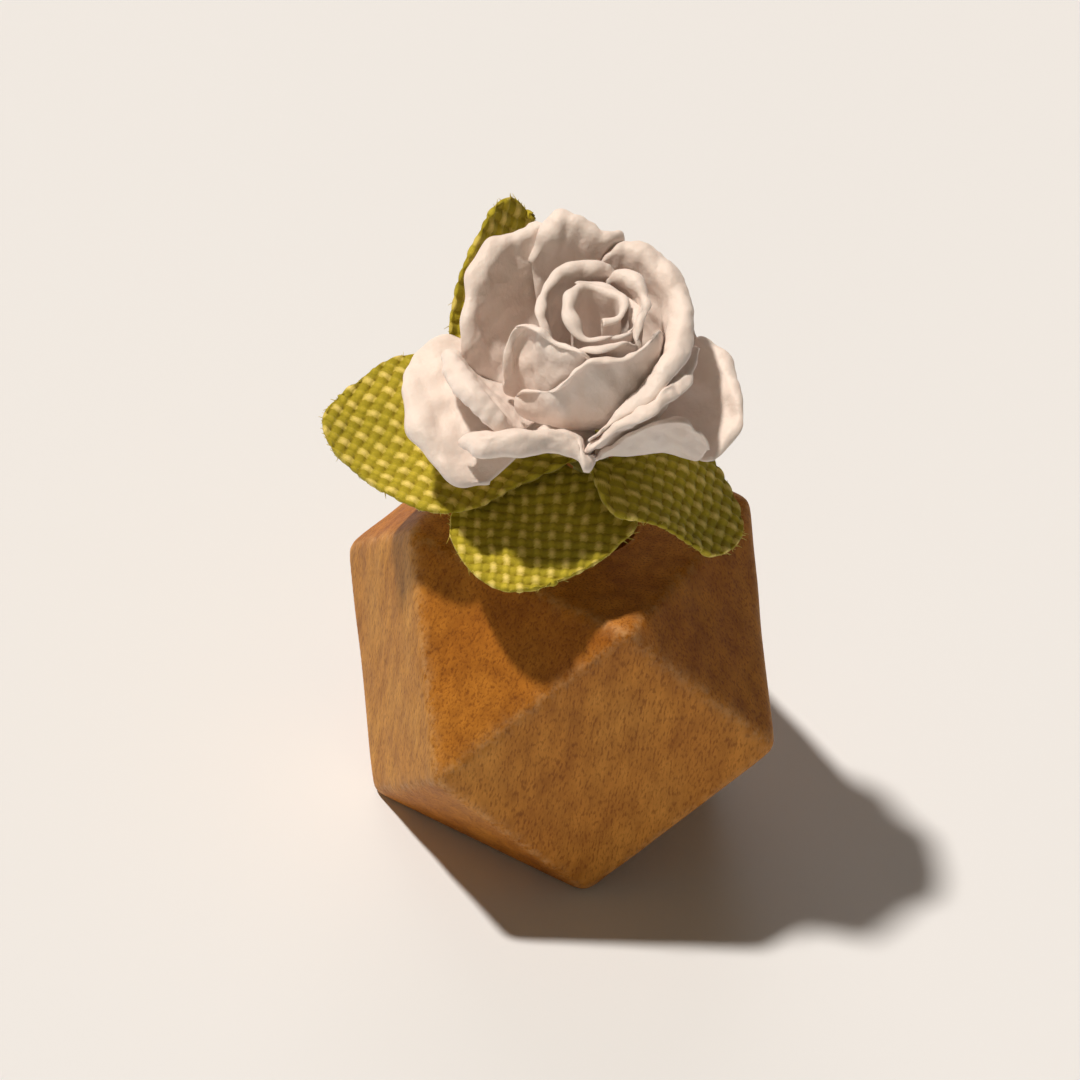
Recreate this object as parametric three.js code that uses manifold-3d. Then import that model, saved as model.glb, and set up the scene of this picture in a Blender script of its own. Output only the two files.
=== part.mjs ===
// A miniature paper rose in a faceted wooden block. Curled white paper petals and woven
// fabric leaves are bound to a paper-wrapped wire, and the wire is glued into the hole
// drilled in the block. Millimetres, +Z up. The origin is the centre of the block's underside.
import * as THREE from "three";
import { ConvexGeometry } from "three/addons/geometries/ConvexGeometry.js";
import { mergeVertices } from "three/addons/utils/BufferGeometryUtils.js";
import Module from "manifold-3d";

const wasm = await Module();
wasm.setup();

// The block: a cube of this size with every corner cut off at the middle of its edges.
const BLOCK = 20;
const EDGE_RADIUS = 1.2;
const EDGE_PATCH = 5;
const HOLE_RADIUS = 3.2;
const HOLE_DEPTH = 12;
const HOLE_CHAMFER = 0.4;
const HOLE_SIDES = 40;

// The gap left between pieces that touch.
const GAP = 0.3;

// The stem, the glue that holds it and the paper tape that binds flower and leaves to it.
const STEM_RADIUS = 0.7;
const STEM_STEPS = 16;
const STEM_SIDES = 24;
const GLUE_DEPTH = 4.5;
const GLUE_DISH = 0.6;
const GLUE_SIDES = 28;
const TAPE_TOP_RADIUS = 3.3;
const TAPE_TOP = -0.1;
const TAPE_RIM = 0.4;
const TAPE_FLARE = 0.4;
const TAPE_NECK_RADIUS = 1.5;
const TAPE_TAPER = 0.2;
const TAPE_LENGTH = 3.2;
const TAPE_SIDES = 24;

// The flower stands on its own axis, which leans a little from the hole's.
const FLOWER_BASE = new THREE.Vector3(-0.3, 0.1, 27.5);
const FLOWER_LEAN = new THREE.Vector3(-0.06, 0.02, 1);
const STEM_INTO_FLOWER = 0.1;

const PAPER = 0.22;
const FABRIC = 0.4;

// Each ring of petals: the radius and height of its petals' feet, and half the angle that a
// foot covers, in degrees.
const RINGS = {
  inner: { radius: 1.35, height: 1.3, half: 48 },
  cup: { radius: 1.85, height: 0.95, half: 40 },
  middle: { radius: 2.4, height: 0.7, half: 28 },
  outer: { radius: 2.9, height: 0.45, half: 28 },
};

// The petals from the inside out. Each has the azimuth of its foot, its slope at the foot and
// at the rim, in degrees above level and outwards, how full it swells below the rim, and its
// rim from one side to the other as [azimuth, radius, height] about the flower's axis.
const PETALS = [
  { name: "inner_petal_front", ring: "inner", at: 262, slopes: [40, 95], swell: 0.4,
    rim: [[218, 3.0, 5.6], [236, 3.1, 6.7], [254, 3.2, 6.9], [270, 3.0, 7.0], [288, 2.8, 7.0],
      [308, 2.7, 6.4]] },
  { name: "inner_petal_right", ring: "inner", at: 5, slopes: [40, 92], swell: 0.4,
    rim: [[-62, 2.7, 6.3], [-42, 2.6, 7.1], [-20, 2.6, 7.3], [6, 2.9, 7.6], [28, 3.1, 7.8],
      [50, 3.2, 7.6], [68, 3.3, 6.6]] },
  { name: "inner_petal_left", ring: "inner", at: 125, slopes: [40, 92], swell: 0.4,
    rim: [[58, 3.5, 6.4], [78, 3.6, 7.4], [100, 3.6, 7.6], [120, 3.6, 7.5], [140, 3.5, 7.3],
      [160, 3.4, 7.2], [180, 3.3, 6.9], [194, 3.2, 5.8]] },
  { name: "cup_petal_front", ring: "cup", at: 215, slopes: [15, 110], swell: 0.55,
    rim: [[182, 5.2, 3.2], [176, 5.2, 4.5], [169, 4.8, 5.6], [169, 4.3, 6.2], [179, 3.9, 6.5],
      [194, 3.6, 6.7], [212, 3.4, 6.7], [230, 3.3, 6.7], [248, 3.4, 6.4], [262, 3.5, 5.6]] },
  { name: "cup_petal_front_right", ring: "cup", at: 280, slopes: [15, 108], swell: 0.6,
    rim: [[196, 5.1, 3.2], [214, 5.1, 4.5], [229, 5.0, 5.3], [236, 4.5, 6.0], [247, 3.9, 6.6],
      [263, 3.8, 6.6], [279, 3.8, 6.6], [295, 3.6, 6.7], [311, 3.5, 6.7], [327, 3.4, 6.7],
      [343, 3.5, 6.2], [352, 3.8, 5.2]] },
  { name: "middle_petal_right", ring: "middle", at: -5, slopes: [25, 72], swell: 0.45,
    rim: [[-109, 5.9, 2.9], [-93, 5.3, 3.9], [-70, 5.2, 4.8], [-48, 5.0, 5.4], [-22, 4.9, 5.4],
      [-6, 5.2, 5.9], [18, 5.8, 6.4], [37, 6.2, 6.9], [56, 6.3, 7.3], [67, 5.7, 7.2],
      [75, 5.1, 6.3]] },
  { name: "middle_petal_back", ring: "middle", at: 84, slopes: [30, 75], swell: 0.45,
    rim: [[60, 5.9, 6.2], [66, 6.1, 7.3], [75, 6.2, 8.0], [85, 6.6, 8.6], [94, 6.9, 8.6],
      [103, 6.7, 7.8], [112, 6.2, 6.4]] },
  { name: "middle_petal_left", ring: "middle", at: 132, slopes: [25, 72], swell: 0.45,
    rim: [[84, 6.3, 6.4], [96, 7.2, 7.6], [107, 7.4, 7.6], [122, 7.9, 7.4], [140, 7.8, 6.4],
      [156, 7.4, 5.0], [164, 7.3, 3.4]] },
  { name: "middle_petal_front_right", ring: "middle", at: 296, slopes: [8, 80], swell: 0.45,
    rim: [[250, 5.8, 1.9], [254, 5.9, 2.6], [260, 5.9, 3.2], [269, 5.9, 4.0], [281, 5.9, 4.5],
      [295, 5.9, 4.8], [310, 5.8, 4.7], [327, 5.5, 4.6], [343, 5.5, 4.7], [352, 5.6, 4.0]] },
  { name: "middle_petal_front_left", ring: "middle", at: 165, slopes: [12, 60], swell: 0.45,
    rim: [[157, 7.9, 3.0], [168, 8.3, 4.0], [182, 8.2, 4.3], [196, 8.0, 4.2], [206, 7.7, 3.6],
      [211, 7.3, 2.9]] },
  { name: "outer_petal_front", ring: "middle", at: 230, slopes: [-12, 60], swell: 0.7,
    rim: [[200, 8.9, 2.0], [208, 8.9, 2.7], [220, 8.0, 3.2], [234, 6.8, 3.2], [246, 5.9, 2.8],
      [256, 5.4, 1.9]] },
  { name: "outer_petal_front_right", ring: "outer", at: 285, slopes: [-15, 70], swell: 0.9,
    rim: [[250, 4.9, 0.7], [262, 5.1, 1.5], [276, 5.3, 2.5], [291, 5.7, 3.1], [303, 6.3, 2.9],
      [310, 7.0, 1.9], [313, 7.5, 0.9]] },
  { name: "outer_petal_right", ring: "outer", at: 349, slopes: [5, 40], swell: 0.45,
    rim: [[317, 7.8, 0.2], [325, 8.2, 0.9], [332, 8.5, 1.6], [345, 7.9, 2.0], [363, 7.6, 2.1],
      [378, 7.0, 2.3]] },
  { name: "outer_petal_left", ring: "outer", at: 182, slopes: [8, -5], swell: 0.45,
    rim: [[143, 8.4, 2.4], [158, 10.2, 2.2], [176, 10.3, 1.9], [192, 10.1, 1.0],
      [206, 9.5, 0.0], [212, 8.2, -0.2]] },
  { name: "outer_petal_back_right", ring: "outer", at: 48, slopes: [5, 30], swell: 0.45,
    rim: [[12, 6.8, 2.0], [28, 7.2, 2.8], [44, 7.4, 3.2], [60, 7.4, 3.1], [74, 7.2, 2.5],
      [82, 6.9, 1.8]] },
  { name: "outer_petal_back_left", ring: "outer", at: 113, slopes: [5, 20], swell: 0.45,
    rim: [[80, 6.8, 2.0], [94, 7.4, 2.8], [108, 7.6, 3.1], [122, 7.8, 2.9], [136, 7.6, 2.2],
      [145, 7.2, 1.4]] },
];
const PETAL_GRID = [14, 12];
const UPPER_PULL = 0.35;
// Petals are laid a little further apart than GAP, since their cells cut the corners of a bend.
const LAYER_GAP = 0.4;

// The point that petals lie round, layer over layer, above the flower's base, and how far out
// the rays start that find the layer inside a petal.
const HEART = new THREE.Vector3(0, 0, 2);
const REACH = 30;
const EVENING_PASSES = 3;

// The rolled bud: outside and inside as [radius, height] above the flower's base.
const BUD_OUTSIDE = [[0, 0.45], [0.6, 0.55], [1.0, 2.5], [1.6, 5], [1.9, 6.8], [1.8, 7.9]];
const BUD_INSIDE = [[1.5, 7.8], [1.5, 6.6], [1.1, 5.2], [0, 4.8]];
const BUD_SIDES = 20;

// Each leaf: its azimuth, the height of its foot, how far it rolls about its midrib in degrees,
// its midrib as [distance out, rise], its widths to the right and to the left of the midrib
// from foot to tip, seen from the stem, and how far its tip is rounded off as a share of it.
const LEAVES = [
  { name: "leaf_back_left", at: 107, foot: 26.2, roll: -12, round: 0.06,
    midrib: [[2.1, 0], [5, -0.3], [8.8, 2.4], [10.6, 8.6]],
    right: [0.6, 2.6, 4.6, 4.9, 3.8, 1.3], left: [0.6, 2.4, 4.6, 4.9, 3.9, 1.8] },
  { name: "leaf_left", at: 165, foot: 25.5, roll: 18, round: 0.08,
    midrib: [[1.9, 0], [6, -0.9], [10.5, -0.7], [15, -0.4]],
    right: [0.8, 2.9, 5.2, 5.7, 4.8, 1.9], left: [2.0, 3.4, 4.9, 5.3, 4.1, 2.1] },
  { name: "leaf_front", at: 226, foot: 24.4, roll: 0, round: 0.22,
    midrib: [[1.68, 0], [5, -0.75], [7.8, -1.5], [10.4, -2.4]],
    right: [2.2, 3.9, 4.4, 4.6, 4.5, 3.9], left: [3.4, 4.7, 4.6, 4.3, 3.6, 2.6] },
  { name: "leaf_right", at: 325, foot: 25.5, roll: 0, round: 0.12,
    midrib: [[1.75, 0], [4.3, -0.7], [6.8, -2.1], [9.2, -3.7]],
    right: [3.3, 5.0, 4.4, 3.7, 3.2, 2.6], left: [1.2, 3.4, 3.9, 3.7, 3.1, 2.0] },
];
const LEAF_GRID = [8, 14];

const WOOD = { color: 0xa8774a, roughness: 0.75, metalness: 0 };
const WHITE_PAPER = { color: 0xe6d9d3, roughness: 0.6, metalness: 0 };
const GREEN_FABRIC = { color: 0x8a8a2e, roughness: 0.85, metalness: 0 };
const GREEN_TAPE = { color: 0x7c7927, roughness: 0.8, metalness: 0 };
const GLUE = { color: 0xd8cfae, roughness: 0.35, metalness: 0 };

const radians = THREE.MathUtils.degToRad;
const points2 = (rows) => rows.map(([x, y]) => new THREE.Vector2(x, y));
const clamp = (i, last) => Math.min(Math.max(i, 0), last);

function solidOf(geometry) {
  const g = geometry.clone();
  g.deleteAttribute("normal");
  g.deleteAttribute("uv");
  const merged = mergeVertices(g);
  const vertProperties = merged.attributes.position.array;
  const triVerts = new Uint32Array(merged.index.array);
  return new wasm.Manifold(new wasm.Mesh({ numProp: 3, vertProperties, triVerts }));
}

function geometryOf(solid) {
  const { vertProperties, triVerts } = solid.getMesh();
  const g = new THREE.BufferGeometry();
  g.setAttribute("position", new THREE.BufferAttribute(vertProperties, 3));
  g.setIndex(new THREE.BufferAttribute(triVerts, 1));
  g.computeVertexNormals();
  return g;
}

function mesh(name, geometry, look) {
  const made = new THREE.Mesh(geometry, new THREE.MeshStandardMaterial(look));
  made.name = name;
  return made;
}

// A lathe turned about +Z. Profiles run so that the solid lies on their left.
function turned(profile, sides) {
  return new THREE.LatheGeometry(points2(profile), sides).rotateX(Math.PI / 2);
}

// The rows of points that surface(u, v) gives, with u and v from 0 to 1.
function gridOf(surface, [across, along]) {
  const row = (v) => Array.from({ length: across + 1 }, (_, i) => surface(i / across, v));
  return Array.from({ length: along + 1 }, (_, j) => row(j / along));
}

// A closed plate of even thickness whose middle is a grid of points.
function plate(grid, thickness) {
  const along = grid.length - 1;
  const across = grid[0].length - 1;
  const at = (j, i) => grid[clamp(j, along)][clamp(i, across)];
  const positions = [];
  const faces = [];
  for (const side of [0.5, -0.5]) {
    for (let j = 0; j <= along; j++) {
      for (let i = 0; i <= across; i++) {
        const du = at(j, i + 1).clone().sub(at(j, i - 1));
        const dv = at(j + 1, i).clone().sub(at(j - 1, i));
        const normal = du.cross(dv).normalize();
        positions.push(...at(j, i).clone().addScaledVector(normal, side * thickness));
      }
    }
  }
  const row = across + 1;
  const back = row * (along + 1);
  const quad = (a, b, c, d) => faces.push(a, b, c, a, c, d);
  for (let j = 0; j < along; j++) {
    for (let i = 0; i < across; i++) {
      const a = j * row + i;
      quad(a, a + 1, a + row + 1, a + row);
      quad(back + a, back + a + row, back + a + row + 1, back + a + 1);
    }
    const left = j * row;
    const right = left + across;
    quad(left, left + row, back + left + row, back + left);
    quad(right, back + right, back + right + row, right + row);
  }
  for (let i = 0; i < across; i++) {
    const rim = along * row + i;
    quad(i, back + i, back + i + 1, i + 1);
    quad(rim, rim + 1, back + rim + 1, back + rim);
  }
  const g = new THREE.BufferGeometry();
  g.setAttribute("position", new THREE.Float32BufferAttribute(positions, 3));
  g.setIndex(faces);
  g.computeVertexNormals();
  return g;
}

// The block's rounded outside: the hull of a small sphere patch at each of its twelve corners.
// Each patch holds the normals of the four faces that meet there, so every face is truly flat.
function blockSolid() {
  const half = BLOCK / 2;
  const points = [];
  for (const [a, b, c] of [[0, 1, 2], [1, 2, 0], [2, 0, 1]]) {
    for (const sa of [1, -1]) {
      for (const sb of [1, -1]) {
        const corner = [0, 0, 0];
        corner[a] = sa;
        corner[b] = sb;
        const squareA = new THREE.Vector3().setComponent(a, sa);
        const squareB = new THREE.Vector3().setComponent(b, sb);
        const cut = (sc) => new THREE.Vector3(...corner).setComponent(c, sc).normalize();
        const up = cut(1);
        const down = cut(-1);
        const centre = new THREE.Vector3(...corner).multiplyScalar(half - EDGE_RADIUS);
        for (let i = 0; i < EDGE_PATCH; i++) {
          for (let j = 0; j < EDGE_PATCH; j++) {
            const s = i / (EDGE_PATCH - 1);
            const t = j / (EDGE_PATCH - 1);
            const n = new THREE.Vector3()
              .addScaledVector(squareA, (1 - s) * (1 - t))
              .addScaledVector(up, s * (1 - t))
              .addScaledVector(squareB, s * t)
              .addScaledVector(down, (1 - s) * t)
              .normalize();
            points.push(centre.clone().addScaledVector(n, EDGE_RADIUS));
          }
        }
      }
    }
  }
  return solidOf(new ConvexGeometry(points).translate(0, 0, half));
}

function block() {
  const top = BLOCK;
  const floor = BLOCK - HOLE_DEPTH;
  const mouth = HOLE_RADIUS + HOLE_CHAMFER;
  const above = top + HOLE_RADIUS;
  const hole = turned([
    [0, floor],
    [HOLE_RADIUS, floor],
    [HOLE_RADIUS, top - HOLE_CHAMFER],
    [mouth, top],
    [mouth, above],
    [0, above],
  ], HOLE_SIDES);
  return mesh("wood_block", geometryOf(blockSolid().subtract(solidOf(hole))), WOOD);
}

// A point of a petal: its side edges are u = 0 and 1, its foot v = 0 and its rim v = 1. The rib
// from foot to rim is a curve in the plane of [radius, height], and fans out to the rim's azimuth.
function petalSurface({ ring, at, slopes, swell, rim }) {
  const { radius, height, half } = RINGS[ring];
  const rimPoints = rim.map((p) => new THREE.Vector3(...p));
  const curve = new THREE.CatmullRomCurve3(rimPoints, false, "catmullrom");
  const foot = new THREE.Vector2(radius, height);
  const [start, end] = slopes.map((slope) => {
    return new THREE.Vector2(Math.cos(radians(slope)), Math.sin(radians(slope)));
  });
  return (u, v) => {
    const { x: rimAzimuth, y: rimRadius, z: rimHeight } = curve.getPoint(u);
    const top = new THREE.Vector2(rimRadius, rimHeight);
    const length = top.distanceTo(foot);
    const lower = foot.clone().addScaledVector(start, swell * length);
    const upper = top.clone().addScaledVector(end, -UPPER_PULL * length);
    const p = new THREE.CubicBezierCurve(foot, lower, upper, top).getPoint(v);
    const footAzimuth = at + (2 * u - 1) * half;
    const angle = radians(THREE.MathUtils.lerp(footAzimuth, rimAzimuth, 1 - (1 - v) ** 2));
    return new THREE.Vector3(p.x * Math.cos(angle), p.x * Math.sin(angle), p.y);
  };
}

// How far each point of a grid has to move out from the heart to clear the pieces inside it.
function shortfall(grid, inside) {
  const caster = new THREE.Raycaster();
  return grid.map((row) => row.map((p) => {
    const out = p.clone().sub(HEART);
    const distance = out.length();
    out.normalize();
    caster.set(HEART.clone().addScaledVector(out, REACH), out.clone().negate());
    const hit = caster.intersectObjects(inside)[0];
    return hit ? Math.max(0, REACH - hit.distance + LAYER_GAP + PAPER / 2 - distance) : 0;
  }));
}

// Spreads the moves to the points round each, so that the petal bends rather than steps.
function evened(moves) {
  const rows = moves.length - 1;
  const columns = moves[0].length - 1;
  const beside = (all, j, i) => [[j - 1, i], [j + 1, i], [j, i - 1], [j, i + 1]].map(([k, l]) => {
    return all[clamp(k, rows)][clamp(l, columns)];
  });
  const widened = moves.map((row, j) => row.map((move, i) => Math.max(move, ...beside(moves, j, i))));
  let spread = widened;
  for (let pass = 0; pass < EVENING_PASSES; pass++) {
    const before = spread;
    spread = widened.map((row, j) => row.map((move, i) => {
      const mean = beside(before, j, i).reduce((sum, other) => sum + other / 4, 0);
      return Math.max(move, mean);
    }));
  }
  return spread;
}

function petal(facts, inside) {
  const grid = gridOf(petalSurface(facts), PETAL_GRID);
  const moves = evened(shortfall(grid, inside));
  for (const [j, row] of grid.entries()) {
    for (const [i, p] of row.entries()) {
      p.addScaledVector(p.clone().sub(HEART).normalize(), moves[j][i]);
    }
  }
  return mesh(facts.name, plate(grid, PAPER), WHITE_PAPER);
}

// A point of a leaf: u runs across it from right to left, and v from its foot to its tip.
function leafSurface({ at, foot, roll, round, midrib, right, left }) {
  const spine = new THREE.SplineCurve(points2(midrib));
  const widths = [right, left].map((side) => {
    return new THREE.SplineCurve(side.map((w, i) => new THREE.Vector2(i, w)));
  });
  const turn = new THREE.Euler(0, 0, radians(at));
  return (u, v) => {
    const side = 2 * u - 1;
    const reach = v * (1 - round * side ** 2);
    const p = spine.getPoint(reach);
    const tilt = radians(roll) * reach;
    const w = side * widths[side < 0 ? 0 : 1].getPoint(v).y;
    const local = new THREE.Vector3(p.x, w * Math.cos(tilt), foot + p.y - w * Math.sin(tilt));
    return local.applyEuler(turn);
  };
}

function stem() {
  const bottom = new THREE.Vector3(0, 0, BLOCK - HOLE_DEPTH + GAP);
  const mouth = new THREE.Vector3(0, 0, BLOCK);
  const halfway = FLOWER_BASE.clone().lerp(mouth, 0.5);
  const top = FLOWER_BASE.clone().addScaledVector(FLOWER_LEAN, STEM_INTO_FLOWER);
  const path = new THREE.CatmullRomCurve3([bottom, mouth, halfway, top]);
  const section = new THREE.Shape().absarc(0, 0, STEM_RADIUS, 0, 2 * Math.PI);
  const options = { steps: STEM_STEPS, curveSegments: STEM_SIDES / 2, extrudePath: path };
  return mesh("stem_wire", new THREE.ExtrudeGeometry(section, options), GREEN_TAPE);
}

function glue() {
  const floor = BLOCK - HOLE_DEPTH + GAP;
  const outside = HOLE_RADIUS - GAP;
  const inside = STEM_RADIUS + GAP;
  const profile = [
    [inside, floor],
    [outside, floor],
    [outside, floor + GLUE_DEPTH],
    [inside, floor + GLUE_DEPTH - GLUE_DISH],
    [inside, floor],
  ];
  return mesh("glue_plug", turned(profile, GLUE_SIDES), GLUE);
}

function tape() {
  const inside = STEM_RADIUS + GAP;
  const profile = [
    [inside, -TAPE_LENGTH],
    [TAPE_NECK_RADIUS - TAPE_TAPER, -TAPE_LENGTH],
    [TAPE_NECK_RADIUS, TAPE_TOP - TAPE_RIM - TAPE_FLARE],
    [TAPE_TOP_RADIUS, TAPE_TOP - TAPE_RIM],
    [TAPE_TOP_RADIUS, TAPE_TOP],
    [inside, TAPE_TOP],
    [inside, -TAPE_LENGTH],
  ];
  return mesh("tape_wrap", turned(profile, TAPE_SIDES), GREEN_TAPE);
}

function bud() {
  return mesh("rolled_bud", turned([...BUD_OUTSIDE, ...BUD_INSIDE], BUD_SIDES), WHITE_PAPER);
}

const layers = [bud()];
for (const facts of PETALS) {
  layers.push(petal(facts, layers));
}

const flower = new THREE.Group();
flower.position.copy(FLOWER_BASE);
flower.quaternion.setFromUnitVectors(new THREE.Vector3(0, 0, 1), FLOWER_LEAN.clone().normalize());
flower.add(tape(), ...layers);

const group = new THREE.Group();
group.add(block(), glue(), stem(), flower);
for (const leaf of LEAVES) {
  group.add(mesh(leaf.name, plate(gridOf(leafSurface(leaf), LEAF_GRID), FABRIC), GREEN_FABRIC));
}

export default group;
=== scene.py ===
"""The looks of the potted paper rose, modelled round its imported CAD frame.

Lengths are millimetres and angles in the tables are degrees. The petals, the bud and the tape
are given in the flower's own frame, which starts at FLOWER_BASE and leans with its axis, and
all else is given in the CAD frame. A petal's rim is a row of (azimuth, radius, height).
"""
from math import cos, pi, radians, sin

import bpy
import numpy as np
from mathutils import Matrix, Vector
from mathutils.bvhtree import BVHTree

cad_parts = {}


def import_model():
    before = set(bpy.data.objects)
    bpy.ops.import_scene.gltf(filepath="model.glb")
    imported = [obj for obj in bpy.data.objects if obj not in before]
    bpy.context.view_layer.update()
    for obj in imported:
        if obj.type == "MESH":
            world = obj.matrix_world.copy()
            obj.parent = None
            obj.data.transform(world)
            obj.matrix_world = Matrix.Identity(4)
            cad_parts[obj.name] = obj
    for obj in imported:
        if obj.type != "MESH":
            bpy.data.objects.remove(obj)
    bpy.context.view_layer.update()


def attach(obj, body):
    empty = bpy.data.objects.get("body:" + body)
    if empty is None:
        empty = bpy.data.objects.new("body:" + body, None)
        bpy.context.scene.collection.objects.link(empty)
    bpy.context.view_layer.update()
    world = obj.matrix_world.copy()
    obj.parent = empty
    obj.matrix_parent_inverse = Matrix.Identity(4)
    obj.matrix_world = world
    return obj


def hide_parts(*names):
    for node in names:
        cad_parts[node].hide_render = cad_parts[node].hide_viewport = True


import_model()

MM = 0.001

# The shortest and the longest wave of a field, as multiples of the wavelength asked for.
WAVE_SPREAD = (0.7, 1.5)

# The square of the share of its thickness that a plate keeps at its border.
BORDER_LEAST = 0.06

# The block: its width across two square faces, how sharp its edges are, how much of its width is
# worn off, and the hole with its rounded lip. Its grid is the points around it and the rows from
# its base to the hole. The lip and the hole's wall have rows of their own.
BLOCK = 20.0
EDGE_SHARPNESS = 5.2
WORN_OFF = 0.05
HOLE_RADIUS = 3.2
HOLE_DEPTH = 12.0
HOLE_LIP = 0.45
BLOCK_GRID = (280, 190)
LIP_ROWS = 6
WALL_ROWS = 24

# The block's faces come in this order: six squares, the second of them towards -X, and then the
# triangles.
SQUARE_FACES = 6
LEFT_FACE = 1

# The block's skin is found by Newton's method: the share of the half width that it starts from,
# the number of steps, and the least slope that a step divides by.
SKIN_START = 0.9
SKIN_STEPS = 14
SLOPE_LEAST = 0.2

# The flower stands on its own axis, which leans a little from the hole's.
FLOWER_BASE = np.array([-0.3, 0.1, 27.5])
FLOWER_LEAN = np.array([-0.06, 0.02, 1.0])

# The gap left round the glue and below the stem.
GAP = 0.3

# The stem: its rows and sides, how far it goes into the flower, and the pitch and the step of
# the paper wound round it.
STEM_RADIUS = 0.7
STEM_GRID = (180, 32)
STEM_INTO_FLOWER = 0.1
WRAP_PITCH = 2.4
WRAP_STEP = 0.06

# The glue's depth above the hole's bottom, and its sides.
GLUE_DEPTH = 4.5
GLUE_SIDES = 64

# The tape's outline as (radius, height) in the flower's frame: its neck and flare from the
# bottom up, then over its top and down along the stem. The depth of its crinkles is a share of
# the radius, and they grow between the two radii of TAPE_LOOSE, so its inside stays smooth.
TAPE_NECK = [(1.25, -3.2), (1.5, -1.04), (3.2, -0.5)]
TAPE_RIM = [(3.25, -0.3), (3.2, -0.12), (2.2, -0.1), (1.05, -0.12), (1.0, -1.5), (1.0, -3.15)]
TAPE_ROWS = 40
TAPE_SIDES = 72
TAPE_CRINKLE = 0.035
TAPE_LOOSE = (1.15, 1.25)

# Each ring: the radius and height of its petals' feet, and half the angle that a foot covers.
RINGS = {
    "inner": (1.35, 1.3, 48),
    "cup": (1.85, 0.95, 40),
    "middle": (2.4, 0.7, 28),
    "outer": (2.9, 0.45, 28),
}

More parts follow.
